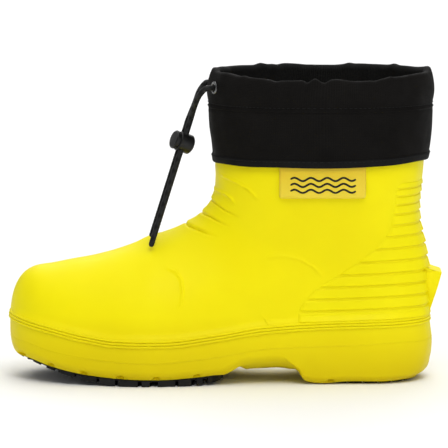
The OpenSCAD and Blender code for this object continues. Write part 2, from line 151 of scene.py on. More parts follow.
# ---------------------------------------------------------------- the cords' route, as in the CAD
CORD_D = 4.0
STRAND_GAP = 4.3
LOCK_TOP = np.array((-28.0, -6, 177))
STRAND_END = np.array((-53.0, -23, 98.5))
LOCK_TURN = math.radians(25)
EYELET_A = 161.0
EYELET_Z = 209.5
SEAM_Z = 196.0
RIM_Z = 219.5
TUNNEL_D = 8.0
CUFF_POWER = 2.3
TUNNEL_IN = 0.8  # how far the tunnel's cloth lies inside the cuff's outline
CUFF_FRONT = [(156, -8.7), (168, -9.6), (182, -11.4), (196, -12), (204, -11.6), (212, -10), (221, -8)]
CUFF_BACK = [(156, 144.5), (168, 146.3), (182, 147.4), (196, 147.8), (204, 147.8), (212, 147.3), (221, 146.6)]
CUFF_HALF = [(156, 55.8), (168, 56.6), (182, 57), (196, 57), (204, 57), (212, 56.6), (221, 55.6)]


def unit(v):
    return v / np.linalg.norm(v)


def cuff_point(a, z, out):
    """Points of the cuff at angle a in degrees, 0 at the heel and 90 on the inner side, grown by out."""
    front, back = curve(z, CUFF_FRONT) - out, curve(z, CUFF_BACK) + out
    half = curve(z, CUFF_HALF) + out
    c, k = np.cos(np.radians(a)), np.sin(np.radians(a))
    e = 2 / CUFF_POWER
    x = (front + back) / 2 + (back - front) / 2 * np.sign(c) * np.abs(c) ** e
    y = half * np.sign(k) * np.abs(k) ** e
    return np.stack(np.broadcast_arrays(x, y, z + 0 * x), -1)


def tunnel_bulge(z):
    return 1.2 * np.sin(np.pi * clamp01((z - SEAM_Z) / (RIM_Z - SEAM_Z)))


def eyelet(side):
    """(place, outward direction) of the eyelet, side -1 on the outer side and 1 on the inner."""
    a = EYELET_A if side > 0 else 360 - EYELET_A
    out = tunnel_bulge(EYELET_Z) - TUNNEL_IN
    t = cuff_point(a + 2, EYELET_Z, out) - cuff_point(a - 2, EYELET_Z, out)
    return cuff_point(a, EYELET_Z, out), unit(np.array((t[1], -t[0], 0)))


way = unit(STRAND_END - LOCK_TOP)
level = unit(np.array((-1.0, 0, 0)) + way[0] * way)
turned = unit(np.cross(way, level))
button_way = math.cos(LOCK_TURN) * level + math.sin(LOCK_TURN) * turned * (1 if turned[1] < 0 else -1)
across = np.cross(button_way, way)
across = across * (1 if across[1] > 0 else -1)

OUTER_ROUTE = [(-14.5, -23.5, 208.6), (-18.5, -20.5, 203.5), (-21.5, -14.5, 196)]
INNER_ROUTE = [(-14.5, 21, 208.6), (-18.5, 15.5, 203.5), (-21.5, 7, 196)]


def through(points, steps):
    """A smooth line through points, with steps samples in each span."""
    p = np.array([points[0], *points, points[-1]], float)
    out = []
    for i in range(len(points) - 1):
        a, b, c, d = p[i : i + 4]
        for u in np.arange(steps) / steps:
            cubic = (3 * b - 3 * c + d - a) * u**3
            out.append(0.5 * (2 * b + (c - a) * u + (2 * a - 5 * b + 4 * c - d) * u * u + cubic))
    return np.array([*out, points[-1]])


def strand_route(side):
    place, out = eyelet(side)
    shift = across * side * STRAND_GAP / 2
    straight = [LOCK_TOP + way * d + shift for d in (-9, -4, 4, 14, 26, 40, 54, 68)]
    end = STRAND_END + way * (2 if side < 0 else -5) + shift
    middle = OUTER_ROUTE if side < 0 else INNER_ROUTE
    first = [place - out * 1.6, place + out * 1.8, place + out * 5]
    return through([*first, *map(np.array, middle), *straight, end], 8)


# ---------------------------------------------------------------- mesh helpers
def make_piece(name, points, faces, material=None, smooth=True, uv=None, body="root"):
    """A mesh object from points in millimetres, riding on a body. uv holds one pair for each point."""
    mesh = bpy.data.meshes.new(name)
    mesh.from_pydata((np.asarray(points, float) * MM).tolist(), [], [tuple(map(int, f)) for f in faces])
    mesh.update()
    if smooth:
        mesh.polygons.foreach_set("use_smooth", [True] * len(mesh.polygons))
    if uv is not None:
        layer = mesh.uv_layers.new(name="UVMap")
        corners = np.empty(len(mesh.loops), int)
        mesh.loops.foreach_get("vertex_index", corners)
        layer.data.foreach_set("uv", np.asarray(uv, float)[corners].ravel())
    if material:
        mesh.materials.append(material)
    piece = bpy.data.objects.new(name, mesh)
    scene.collection.objects.link(piece)
    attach(piece, body)
    return piece


def grid_faces(rows, columns, wrap_rows=False, wrap_columns=False, start=0):
    """Quads over a grid of points, row by row."""
    i = np.arange(rows if wrap_rows else rows - 1)[:, None]
    j = np.arange(columns if wrap_columns else columns - 1)[None, :]
    a, b = i * columns, ((i + 1) % rows) * columns
    k = (j + 1) % columns
    quads = np.stack(np.broadcast_arrays(a + j, b + j, b + k, a + k), -1).reshape(-1, 4)
    return quads + start


def capped_faces(rows, columns, wrap_rows=False):
    """Faces of a tube of rings, with a cap on each end unless its rows run round."""
    faces = grid_faces(rows, columns, wrap_rows, True).tolist()
    if not wrap_rows:
        last = (rows - 1) * columns
        faces += [list(range(columns))[::-1], [last + k for k in range(columns)]]
    return faces


def normals_of(grid, wrap_columns=False):
    """Unit normals of a grid of points (rows, columns, 3)."""
    down = np.gradient(grid, axis=0)
    along = (np.roll(grid, -1, 1) - np.roll(grid, 1, 1)) if wrap_columns else np.gradient(grid, axis=1)
    n = np.cross(down, along)
    return n / np.maximum(np.linalg.norm(n, axis=-1, keepdims=True), 1e-9)


class Parts:
    """Several point sets and their faces, gathered into one mesh."""

    def __init__(self):
        self.points, self.faces, self.count = [], [], 0

    def add(self, points, faces):
        points = np.asarray(points, float).reshape(-1, 3)
        self.points.append(points)
        self.faces += [tuple(int(v) + self.count for v in f) for f in faces]
        self.count += len(points)

    def tube(self, line, radius, sides=8, closed=False, up=(0.2, 1, 0.1)):
        rings = tube_rings(line, radius, sides, closed, up)
        self.add(rings, capped_faces(len(rings), sides, closed))

    def piece(self, name, material, **more):
        return make_piece(name, np.concatenate(self.points), self.faces, material, **more)


def tube_rings(line, radius, sides, closed=False, up=(0.2, 1, 0.1)):
    """Rings of a tube along line. radius is one number or one for each point."""
    p = np.asarray(line, float)
    t = np.roll(p, -1, 0) - np.roll(p, 1, 0) if closed else np.gradient(p, axis=0)
    t = t / np.linalg.norm(t, axis=1, keepdims=True)
    a = np.cross(t, np.array(up, float))
    a = a / np.linalg.norm(a, axis=1, keepdims=True)
    b = np.cross(t, a)
    phi = np.arange(sides) * 2 * np.pi / sides
    r = np.broadcast_to(radius, (len(p),))[:, None, None]
    return p[:, None] + r * (a[:, None] * np.cos(phi)[:, None] + b[:, None] * np.sin(phi)[:, None])


def outward(piece):
    """Turns every face of a closed mesh to point out."""
    mesh = bmesh.new()
    mesh.from_mesh(piece.data)
    bmesh.ops.recalc_face_normals(mesh, faces=mesh.faces)
    mesh.to_mesh(piece.data)
    mesh.free()
    return piece


# ---------------------------------------------------------------- materials
class Nodes:
    """A node material, with short calls to add and join nodes."""

    def __init__(self, name):
        self.material = bpy.data.materials.new(name)
        self.material.use_nodes = True
        self.tree = self.material.node_tree
        self.shader = self.tree.nodes["Principled BSDF"]

    def add(self, kind, **settings):
        node = self.tree.nodes.new(kind)
        for key, value in settings.items():
            setattr(node, key, value)
        return node

    def join(self, out, into):
        self.tree.links.new(out, into)

    def coords(self, kind="Object", scale=(1, 1, 1)):
        mapping = self.add("ShaderNodeMapping")
        mapping.inputs["Scale"].default_value = scale
        self.join(self.add("ShaderNodeTexCoord").outputs[kind], mapping.inputs[0])
        return mapping.outputs[0]

    def height_of(self, where):
        split = self.add("ShaderNodeSeparateXYZ")
        self.join(where, split.inputs[0])
        return split.outputs[2]

    def noise(self, where, scale, detail=3.0, rough=0.5):
        node = self.add("ShaderNodeTexNoise")
        node.inputs["Scale"].default_value = scale
        node.inputs["Detail"].default_value = detail
        node.inputs["Roughness"].default_value = rough
        self.join(where, node.inputs["Vector"])
        return node.outputs["Fac"]

    def wave(self, where, scale, direction, distortion=0.0):
        node = self.add("ShaderNodeTexWave", bands_direction=direction)
        node.inputs["Scale"].default_value = scale
        node.inputs["Distortion"].default_value = distortion
        self.join(where, node.inputs["Vector"])
        return node.outputs["Fac"]

    def math(self, how, a, b):
        node = self.add("ShaderNodeMath", operation=how)
        for socket, value in zip(node.inputs, (a, b)):
            if isinstance(value, (int, float)):
                socket.default_value = value
            else:
                self.join(value, socket)
        return node.outputs[0]

    def ramp(self, factor, stops):
        """stops are (place, colour), where the colour is one grey value or three."""
        node = self.add("ShaderNodeValToRGB")
        while len(node.color_ramp.elements) < len(stops):
            node.color_ramp.elements.new(0.5)
        for element, (place, colour) in zip(node.color_ramp.elements, stops):
            element.position = place
            rgb = colour if hasattr(colour, "__len__") else (colour,) * 3
            element.color = (*rgb, 1)
        self.join(factor, node.inputs[0])
        return node.outputs[0]

    def bump(self, height, distance, strength=1.0):
        node = self.add("ShaderNodeBump")
        node.inputs["Distance"].default_value = distance
        node.inputs["Strength"].default_value = strength
        self.join(height, node.inputs["Height"])
        self.join(node.outputs[0], self.shader.inputs["Normal"])

    def finish(self, colour, rough, **sockets):
        """colour and rough are node outputs; sockets are uniform values set on the shader itself."""
        self.join(colour, self.shader.inputs["Base Color"])
        self.join(rough, self.shader.inputs["Roughness"])
        for name, value in sockets.items():
            self.shader.inputs[name.replace("_", " ")].default_value = value
        return self.material


def foam_material():
    m = Nodes("moulded_foam")
    at = m.coords()
    cloudy = m.noise(at, 14, 3)
    # painted shade: darker and more orange towards the sole, over the lowest 50 mm, standing in for the shade low
    # on the boot
    rise = m.math("MULTIPLY", m.height_of(at), 16.0)
    painted_sole_shade = m.ramp(rise, [(0.0, (0.74, 0.66, 0.7)), (0.45, (0.9, 0.85, 0.9)), (0.8, 1.0)])
    # the multiply lays the painted shade over the foam's cloudy tone
    tone_and_painted_shade = m.add("ShaderNodeMix", data_type="RGBA", blend_type="MULTIPLY")
    tone_and_painted_shade.inputs["Factor"].default_value = 1
    m.join(m.ramp(cloudy, [(0.3, (0.87, 0.75, 0.002)), (0.7, (0.91, 0.80, 0.003))]), tone_and_painted_shade.inputs[6])
    m.join(painted_sole_shade, tone_and_painted_shade.inputs[7])
    rough = m.ramp(m.noise(at, 60, 4), [(0.3, 0.42), (0.7, 0.54)])
    grain = m.noise(at, 1600, 2)
    m.bump(m.math("ADD", grain, m.math("MULTIPLY", m.noise(at, 220, 2), 0.8)), 0.00006, 0.5)
    m.shader.inputs["Subsurface Radius"].default_value = (0.004, 0.0025, 0.0004)
    return m.finish(tone_and_painted_shade.outputs[2], rough, Subsurface_Weight=0.08, Subsurface_Scale=1.0, Specular_IOR_Level=0.09)


def rubber_material():
    m = Nodes("tread_rubber")
    at = m.coords()
    colour = m.ramp(m.noise(at, 50, 4), [(0.3, 0.005), (0.75, 0.013)])
    rough = m.ramp(m.noise(at, 120, 3), [(0.3, 0.55), (0.7, 0.75)])
    m.bump(m.noise(at, 900, 3), 0.00012, 0.5)
    return m.finish(colour, rough, Specular_IOR_Level=0.2)


def weave(m, at, scale):
    """Height of a plain weave over (u, v) coordinates in metres."""
    over = m.wave(at, scale, "X")
    under = m.wave(at, scale, "Y")
    return m.math("MAXIMUM", over, under)


def nylon_material():
    m = Nodes("cuff_nylon")
    at = m.coords("UV")
    cloth = weave(m, at, 260)
    soft = m.noise(m.coords(), 35, 4)
    stops = [(0.1, (0.003, 0.0027, 0.0024)), (0.8, (0.0085, 0.0076, 0.0068))]
    colour = m.ramp(m.math("MULTIPLY", soft, cloth), stops)
    rough = m.ramp(m.noise(m.coords(), 90, 2), [(0.3, 0.62), (0.7, 0.78)])
    m.bump(cloth, 0.00018, 0.6)
    m.shader.inputs["Sheen Tint"].default_value = (0.5, 0.5, 0.48, 1)
    return m.finish(colour, rough, Sheen_Weight=0.01, Sheen_Roughness=0.5, Specular_IOR_Level=0.06)


def lining_material():
    m = Nodes("lining_cloth")
    at = m.coords("UV", (1, 1.6, 1))
    dots = m.add("ShaderNodeTexVoronoi")
    dots.inputs["Scale"].default_value = 900
    dots.inputs["Randomness"].default_value = 0.3
    m.join(at, dots.inputs["Vector"])
    colour = m.ramp(dots.outputs["Distance"], [(0.15, (0.016, 0.016, 0.015)), (0.55, (0.004, 0.004, 0.004))])
    rough = m.ramp(m.noise(m.coords(), 90, 2), [(0.3, 0.7), (0.7, 0.9)])
    m.bump(m.math("SUBTRACT", 1.0, dots.outputs["Distance"]), 0.0002, 0.7)
    return m.finish(colour, rough, Specular_IOR_Level=0.1)


def tape_material():
    m = Nodes("binding_tape")
    ribs = m.wave(m.coords("UV"), 420, "X")
    colour = m.ramp(ribs, [(0.2, 0.003), (0.9, 0.007)])
    rough = m.ramp(m.noise(m.coords(), 90, 2), [(0.3, 0.65), (0.7, 0.85)])
    m.bump(ribs, 0.00012, 0.6)
    return m.finish(colour, rough, Specular_IOR_Level=0.12)


def thread_material():
    m = Nodes("sewing_thread")
    twist = m.wave(m.coords(), 900, "DIAGONAL")
    colour = m.ramp(twist, [(0.2, 0.005), (0.9, 0.012)])
    rough = m.ramp(twist, [(0.2, 0.6), (0.9, 0.5)])
    m.bump(twist, 0.00005, 0.5)
    return m.finish(colour, rough, Specular_IOR_Level=0.15)


def cord_material():
    m = Nodes("braided_cord")
    at = m.coords("UV")
    one = m.wave(at, 1.0, "DIAGONAL")
    mirrored = m.coords("UV", (1, -1, 1))
    two = m.wave(mirrored, 1.0, "DIAGONAL")
    braid = m.math("MAXIMUM", one, two)
    colour = m.ramp(braid, [(0.3, 0.003), (0.9, 0.011)])
    rough = m.ramp(braid, [(0.3, 0.8), (0.9, 0.6)])
    m.bump(braid, 0.0003, 0.8)
    return m.finish(colour, rough, Sheen_Weight=0.03, Specular_IOR_Level=0.2)


def plastic_material():
    m = Nodes("lock_plastic")
    at = m.coords()
    colour = m.ramp(m.noise(at, 80, 3), [(0.3, 0.003), (0.7, 0.007)])
    rough = m.ramp(m.noise(at, 240, 3), [(0.3, 0.28), (0.7, 0.42)])
    m.bump(m.noise(at, 1400, 2), 0.00004, 0.5)
    return m.finish(colour, rough, Specular_IOR_Level=0.3)


def metal_material(name, dark, light, low, high):
    m = Nodes(name)
    at = m.coords()
    colour = m.ramp(m.noise(at, 150, 4), [(0.3, dark), (0.7, light)])
    rough = m.ramp(m.noise(at, 500, 3), [(0.3, low), (0.7, high)])
    m.bump(m.noise(at, 1500, 2), 0.00003, 0.4)
    return m.finish(colour, rough, Metallic=1.0)


def label_material():
    m = Nodes("label_tpu")
    at = m.coords()
    # painted shade: the label is darker up towards the hem, standing in for the shade under the hem's overhang;
    # the grain adds random tone
    below_hem = m.math("SUBTRACT", 0.158, m.height_of(at))
    grain = m.math("MULTIPLY", m.noise(at, 700, 2), 0.12)
    painted_hem_shade_and_grain = m.math("ADD", m.math("MULTIPLY", below_hem, 30.0), grain)
    colour = m.ramp(painted_hem_shade_and_grain, [(0.05, (0.72, 0.50, 0.022)), (0.8, (0.84, 0.66, 0.045))])
    rough = m.ramp(m.noise(at, 300, 3), [(0.3, 0.3), (0.7, 0.42)])
    m.bump(m.noise(at, 1200, 2), 0.00005, 0.5)
    return m.finish(colour, rough, Subsurface_Weight=0.1, Subsurface_Scale=0.002, Specular_IOR_Level=0.2)


def ink_material():
    m = Nodes("mark_ink")
    at = m.coords()
    colour = m.ramp(m.noise(at, 400, 3), [(0.3, 0.004), (0.7, 0.010)])
    rough = m.ramp(m.noise(at, 500, 3), [(0.3, 0.45), (0.7, 0.6)])
    m.bump(m.noise(at, 1500, 2), 0.00003, 0.5)
    return m.finish(colour, rough, Specular_IOR_Level=0.2)


def footbed_material():
    m = Nodes("footbed_cloth")
    at = m.coords()
    cells = m.add("ShaderNodeTexVoronoi")
    cells.inputs["Scale"].default_value = 700
    m.join(at, cells.inputs["Vector"])
    colour = m.ramp(cells.outputs["Distance"], [(0.1, 0.02), (0.6, 0.07)])
    rough = m.ramp(m.noise(at, 90, 2), [(0.3, 0.8), (0.7, 0.95)])
    m.bump(cells.outputs["Distance"], 0.0002, 0.6)
    return m.finish(colour, rough, Sheen_Weight=0.15)


FOAM = foam_material()
RUBBER = rubber_material()
NYLON = nylon_material()
LINING = lining_material()
TAPE = tape_material()
THREAD = thread_material()
CORD = cord_material()
PLASTIC = plastic_material()
EYELET = metal_material("eyelet_metal", 0.10, 0.22, 0.22, 0.36)
STEEL = metal_material("spring_steel", 0.45, 0.62, 0.2, 0.35)
LABEL = label_material()
INK = ink_material()
FOOTBED = footbed_material()


# ---------------------------------------------------------------- drawcord
def make_strand(side):
    name = "outer" if side < 0 else "inner"
    path = strand_route(side)
    sides = 20
    radius = np.full(len(path), CORD_D / 2)
    radius[-1] *= 0.55  # the heat-sealed tip
    radius[-2] *= 0.95
    rings = tube_rings(path, radius, sides)
    # a seam column is doubled, so that the braid's coordinates run right round
    grid = np.concatenate([rings, rings[:, :1]], 1)
    long = np.concatenate([[0], np.cumsum(np.linalg.norm(np.diff(path, axis=0), axis=1))])
    turns = np.arange(sides + 1) / sides
    uv = np.stack(np.broadcast_arrays(long[:, None] * 0.075, turns[None, :] * 0.955), -1).reshape(-1, 2)
    columns = sides + 1
    faces = grid_faces(len(path), columns).tolist()
    last = (len(path) - 1) * columns
    faces += [list(range(sides))[::-1], [last + k for k in range(sides)]]
    piece = make_piece(f"drawcord_{name}", grid.reshape(-1, 3), faces, CORD, uv=uv)
    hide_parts(f"drawcord_{name}_strand")


make_strand(-1)
make_strand(1)

# ---------------------------------------------------------------- the foam shell's form, as in the CAD
WALL = 4.5
PIVOT = (-45.0, 168.0)
TOE_PITCH = 0.4
TOE_X = -154.0
TOE_Z = 38.0
SPUR_OUT = 9.0
TOP_LINE = [
    (-154, 79), (-140, 79.8), (-126, 81.2), (-110, 84.3), (-95, 87.2), (-80, 91.3), (-65, 96.5), (-50, 103),
    (-38, 106.5), (-27, 111.5), (-18.5, 117.2), (-12.5, 123.5), (-9, 130), (-7.3, 137), (-6.8, 144),
    (-7, 154), (-7, 168),
]
UNDER_LINE = [
    (-154, 19), (-140, 17.5), (-126, 13.5), (-112, 10.2), (-96, 7.5), (-78, 5.8), (-55, 5), (-30, 5.5),
    (-8, 7.6), (0, 8.2), (6, 11), (12, 14.5), (30, 16.3), (44, 15.8), (49, 12), (55, 4), (59, 2), (90, 2),
    (125, 2),
]
BACK_LINE = [
    (2.5, 138), (6.5, 144), (16, 147), (28, 148), (37, 147), (46, 146), (66, 145.8), (76, 145.6),
    (86, 144.2), (95, 142.6), (104, 140.6), (114, 138.8), (124, 138.5), (136, 139.6), (150, 141.2),
    (168, 142),
]
INSOLE_LINE = [
    (-154, 30), (-140, 27), (-120, 22), (-96, 19.5), (-70, 18), (-45, 18), (-15, 19), (15, 22), (45, 25),
    (80, 25.5), (112, 25.5),
]
INNER_BACK_LINE = [
    (27.5, 130), (34, 138), (44, 140.5), (60, 140.5), (76, 140.3), (88, 138.5), (98, 136), (110, 133.8),
    (122, 133.2), (134, 134), (148, 135.8), (168, 137),
]
SPUR_LINE = [(146, 47.5), (150, 60.5), (145.5 + SPUR_OUT, 76.6)]
PLAN = [
    (-154, 50), (-95, 52.5), (-60, 55), (-30, 52), (0, 46.5), (30, 41.5), (60, 39.5), (90, 39.5), (150, 39.5),
]
DRIFT = [(-154, 7), (-110, 5), (-60, 0), (-10, -1), (30, -3), (80, -1), (150, 0)]
SHAFT = [(60, 38), (90, 42), (120, 48), (150, 52), (168, 52.5)]
WELT = [
    (-154, 47), (-124, 41), (-102, 36.3), (-77, 32.7), (-45, 32.4), (-5, 36.5), (28, 41.5), (60, 43.5),
    (150, 46),
]
DOME_DEPTH = [(-44, 44), (-20, 54), (0, 70), (30, 75), (60, 74), (90, 74.5)]
DOME_POWER = [(-44, 2.3), (-20, 2.05), (0, 1.8), (30, 1.9), (60, 2.15), (90, 2.3)]


def section_of(x, z):
    fan = np.degrees(np.arctan2(x - PIVOT[0], PIVOT[1] - z))
    return np.where(x < PIVOT[0], (x - PIVOT[0]) * TOE_PITCH, fan)


def reach_of(x, z):
    return np.where(x < PIVOT[0], PIVOT[1] - z, np.hypot(x - PIVOT[0], z - PIVOT[1]))


def polar(line):
    return [(float(section_of(x, z)), float(reach_of(x, z))) for x, z in line]


def spot(s, r):
    a = np.radians(s)
    x = np.where(s < 0, PIVOT[0] + s / TOE_PITCH, PIVOT[0] + r * np.sin(a))
    z = np.where(s < 0, PIVOT[1] - r, PIVOT[1] - r * np.cos(a))
    return x, z


TOP_R = polar(TOP_LINE)
UNDER_R = polar(UNDER_LINE + swap(BACK_LINE))
INSOLE_R = polar(INSOLE_LINE + swap(INNER_BACK_LINE))
SPUR_R = polar(SPUR_LINE)
SPUR_LOW, SPUR_HIGH = SPUR_R[0][0], SPUR_R[2][0]


def toe_round(s, r, front, toe_level, length):
    mid = PIVOT[1] - toe_level
    x = PIVOT[0] + s / TOE_PITCH
    return np.where(s >= 0, r, mid + (r - mid) * dome((x - front) / length, 2.6))


def near_r(s, skin):
    return toe_round(s, curve(s, TOP_R) + skin, TOE_X + 1.5 * skin, 48 if skin else TOE_Z, 26)


def far_r(s, skin):
    r = curve(s, INSOLE_R) - (skin - WALL) if skin else curve(s, UNDER_R)
    return toe_round(s, r, TOE_X + 1.5 * skin, 48 if skin else TOE_Z, 20 if skin else 10)


def half_width(s, r, skin=0.0):
    """Half width of the shell at distance r on section s, with skin taken off it."""
    x, z = spot(s, r)
    low = curve(x, PLAN) * dome((x - TOE_X - 1.5 * skin) / 62, 2.3) - 2 * ease(0, 6, z - curve(x, WELT))
    blend = ease(60, 150, z) * ease(-60, 10, x)
    full = mix(low, curve(z, SHAFT), blend) - skin
    near = near_r(s, skin)
    crown = dome((r - near) / (curve(s, DOME_DEPTH) - skin), curve(s, DOME_POWER))
    start = mix(100, 67, ease(40, 150, z))
    end = curve(z, INNER_BACK_LINE if skin else BACK_LINE) - max(0, skin - WALL)
    behind = clamp01((x - start) / (end - start))
    rounded = (1 - behind**2.35) ** (1 / 2.35)
    left = far_r(s, skin) - r
    corner = 9 * clamp01(1 - left / 14) ** 2 if skin else 3.5 * clamp01(1 - left / 6) ** 2
    return np.maximum(2.5 * clamp01(r - near), full * crown * rounded - corner)


def side_at(x, z, skin=0.0):
    x, z = np.asarray(x, float), np.asarray(z, float)
    return half_width(section_of(x, z), reach_of(x, z), skin)


def middle_at(x, z):
    return curve(x, DRIFT) * (1 - ease(50, 110, z))


def spur_half(s, r):
    inside = (s >= SPUR_LOW) & (s <= SPUR_HIGH) & (r > far_r(s, 0) - 6)
    wide = mix(8, 15, ease(SPUR_LOW, SPUR_LOW + 5, s)) - 0.2 * np.maximum(0, r - far_r(s, 0))
    return np.where(inside, wide, 0)


def shell_grid(sections, rows, floor_steps, skin):
    """Rings of the shell: from the vamp down the outer side, across below, and up the inner side."""
    s = np.asarray(sections, float)[:, None]
    near, body_far = near_r(s, skin), far_r(s, skin)
    spur = (s >= SPUR_LOW) & (s <= SPUR_HIGH) & (not skin)
    far = np.where(spur, np.maximum(body_far, curve(s, SPUR_R)), body_far)
    u = np.linspace(0, 1, rows + 1)[None, :]
    r = mix(near, far, mix(u, (1 - np.cos(np.pi * u)) / 2, 0.75))
    half = half_width(s, np.minimum(r, body_far), skin)
    if not skin:
        half = np.maximum(half, spur_half(s, r))
    x, z = spot(s, r)
    mid = middle_at(x, z)
    half[:, 0] = 0
    outer = np.stack([x, mid - half, z], -1)
    inner = np.stack([x, mid + half, z], -1)[:, :0:-1]
    y = (2 * np.arange(1, floor_steps) / floor_steps - 1)[None, :]
    fx, fz, fm, fh = x[:, -1:], z[:, -1:], mid[:, -1:], half[:, -1:]
    shank = 8 * ease(6, 16, fx) * (1 - ease(44, 54, fx)) * (1 - np.abs(y) ** 3)
    hang = shank * (0 if skin else 1) * (s <= 40)
    floor = np.stack(np.broadcast_arrays(fx, fm + y * fh, fz - hang), -1)
    return np.concatenate([outer, floor, inner], 1)


# ---------------------------------------------------------------- moulded detail of the shell
def distance_to(x, z, line):
    """Distance in side view from each point to a line of (x, z) points, and how far along it, 0 to 1."""
    p = np.array(line, float)
    best = np.full(x.shape, 1e9)
    along = np.zeros(x.shape)
    total = len(p) - 1
    for i in range(total):
        a, d = p[i], p[i + 1] - p[i]
        t = clamp01(((x - a[0]) * d[0] + (z - a[1]) * d[1]) / (d @ d))
        far = np.hypot(x - a[0] - t * d[0], z - a[1] - t * d[1])
        closer = far < best
        best = np.where(closer, far, best)
        along = np.where(closer, (i + t) / total, along)
    return best, along


# Folds that the mould carries across the instep, as (x, z) lines from the front backwards.
CREASES = [
    [(-12, 129), (-9, 127.5), (-4.3, 125.2), (0.5, 122.6), (8, 119.5)],
    [(-18, 119.5), (-16, 118.6), (-10.7, 117.4), (-5, 114.8), (2, 112)],
    [(-28, 111), (-26, 110), (-18.5, 108), (-13.5, 106.3), (-7.5, 105)],
]
# Raised curved lines: two below the throat, one at the ball and one on the side.
ARCS = [
    [(-4, 147.5), (1.4, 146.5), (9.3, 143.6), (16.4, 139.8), (21.4, 135), (24.3, 130.8)],
    [(-8, 136), (-6, 135.6), (0.5, 134.5), (5, 131.5), (7.4, 127)],
    [(-44, 84), (-35, 80.5), (-30.8, 75), (-29.8, 66), (-31, 59), (-35, 53.5)],
    [(27.6, 90.4), (36, 92), (43, 91.9), (54, 89.2), (63, 83.8), (71, 74.5)],
]
NOTCHES = [(-145, 3.2), (-123.5, 3.2), (-100, 3.2), (-74, 3), (-48.5, 2.6), (-20, 2.6), (75, 2.2)]


def moulded(grid):
    """The shell's outer grid with its creases, arcs and edge notches pressed into it."""
    x, z = grid[..., 0], grid[..., 2]
    normal = normals_of(grid, True)
    centre = np.array((0, 0, 70.0))
    if ((grid - centre) * normal).sum(-1).mean() < 0:
        normal = -normal
    push = np.zeros(x.shape)
    for line in CREASES:
        far, along = distance_to(x, z, line)
        fade = 1 - 0.75 * ease(0.55, 1, along)
        above = z > np.interp(x, [p[0] for p in line], [p[1] for p in line])
        fold = np.exp(-((far / 5) ** 2)) * np.where(above, 0.9, 0.2)
        push += fade * (fold - 1.2 * np.exp(-((far / 0.9) ** 2)))
    for line in ARCS:
        far, along = distance_to(x, z, line)
        fade = ease(0, 0.15, along) * (1 - ease(0.8, 1, along))
        push += fade * 0.9 * np.exp(-((far / 1.1) ** 2))
    bottom = curve(x, UNDER_LINE)
    for place, tall in NOTCHES:
        near_edge = 1 - ease(0.4, 1, (z - bottom) / tall)
        push -= 2.4 * near_edge * np.exp(-(((x - place) / 2.2) ** 4)) * (np.abs(normal[..., 1]) > 0.2)
    # slow waviness of a soft moulding
    push += 0.12 * np.sin(x / 13 + z / 21) * np.sin(z / 17 - x / 29)
    out = grid + normal * push[..., None]
    # a steeper heel breast and a level top on the kick spur than the fanned sections give
    x, z = out[..., 0], out[..., 2]
    steep = ease(43, 50, x) * (1 - ease(60, 75, x)) * np.exp(-(((z - 11) / 3.6) ** 2))
    level = ease(136, 144, x) * np.exp(-(((z - 81.2) / 3.2) ** 2)) * (1 - ease(146, 154, x))
    out[..., 0] += 2.8 * steep
    out[..., 2] -= 3 * level
    return out


def outline_at(level_of, samples, margin=0.0):
    """The shell's outline at height level_of(x): closed line of points, outer side first, grown by margin."""
    xs = np.linspace(TOE_X, 148.2, 6000)
    z = level_of(xs)
    s, r = section_of(xs, z), reach_of(xs, z)
    inside = (r > near_r(s, 0)) & (r < far_r(s, 0))
    first, last = xs[inside][0], xs[inside][-1]
    phi = np.linspace(0, np.pi, samples)
    x = (first + last) / 2 - (last - first) / 2 * np.cos(phi)
    z = level_of(x)
    half = side_at(x, z)
    half[[0, -1]] = 0
    mid = middle_at(x, z)
    outer = np.stack([x, mid - half, z], 1)
    inner = np.stack([x, mid + half, z], 1)[-2:0:-1]
    line = resample(np.concatenate([outer, inner]), 900)
    for _ in range(8):
        line = (np.roll(line, 1, 0) + 2 * line + np.roll(line, -1, 0)) / 4
    t = np.roll(line, -1, 0) - np.roll(line, 1, 0)
    n = np.stack([t[:, 1], -t[:, 0], 0 * t[:, 0]], 1)
    n /= np.linalg.norm(n, axis=1, keepdims=True)
    return line + n * margin


def resample(line, count):
    """A closed line with count evenly spaced points."""
    p = np.concatenate([line, line[:1]])
    d = np.concatenate([[0], np.cumsum(np.linalg.norm(np.diff(p, axis=0), axis=1))])
    at = np.linspace(0, d[-1], count, endpoint=False)
    return np.stack([np.interp(at, d, p[:, k]) for k in range(3)], 1)


# The mould's parting line on the sole, then the height of each rib's edge and where the ribs start.
PARTING = [
    (-154, 30), (-143, 29), (-124, 24), (-98, 19.8), (-77, 17.8), (-50, 16.8), (-24, 19), (4, 22), (28, 26),
    (58, 27.2), (100, 28.4), (121, 29.6), (150, 29.5),
]
RIB_START = [
    (52, 51), (60.3, 56), (68.7, 65), (77, 78.5), (85.7, 92), (94.6, 104), (103, 112), (111, 116), (119, 118),
    (126, 119), (137, 120), (142, 124),
]
RIB_LEVELS = [43.6, 52, 60.3, 68.7, 77, 85.7, 94.6, 103, 111, 119, 125.8, 132, 137.5, 142]


def rib_grid(low, high):
    """One rib round the heel: a band that swells towards its lower edge and dips at both."""
    across_rows, around = 17, 320
    groove = 0.5
    u = np.linspace(0, 1, across_rows)[:, None]
    v = np.linspace(-1, 1, around)[None, :]
    z0 = mix(low + groove, high - groove, u)
    start = curve(np.clip(z0, 52, 142), RIB_START)
    z = z0 + 0 * v
    back = curve(z, BACK_LINE) - 0.02
    bend = np.sin(np.pi / 2 * (1 - np.abs(v)))
    x = start + (back - start) * bend
    z = z + 2 * ease(52, 142, x)
    half = side_at(x, np.minimum(z, 167))
    half = np.where(np.abs(v) < 1e-6, 0, half)
    grid = np.stack([x, middle_at(x, z) + np.sign(v) * half, z], -1)
    swell = 1.35 * ease(0, 0.12, u) * (1 - 0.6 * u) * (1 - ease(0.9, 1, u)) - 0.5 * ((u <= 0) | (u >= 1))
    fade = ease(0, 3.2, x - start) * 1.15 - 0.15
    normal = normals_of(grid)
    if (normal[..., 1] * grid[..., 1]).mean() < 0:
        normal = -normal
    return grid + normal * (swell * fade - 0.35 * (fade < 0))[..., None]


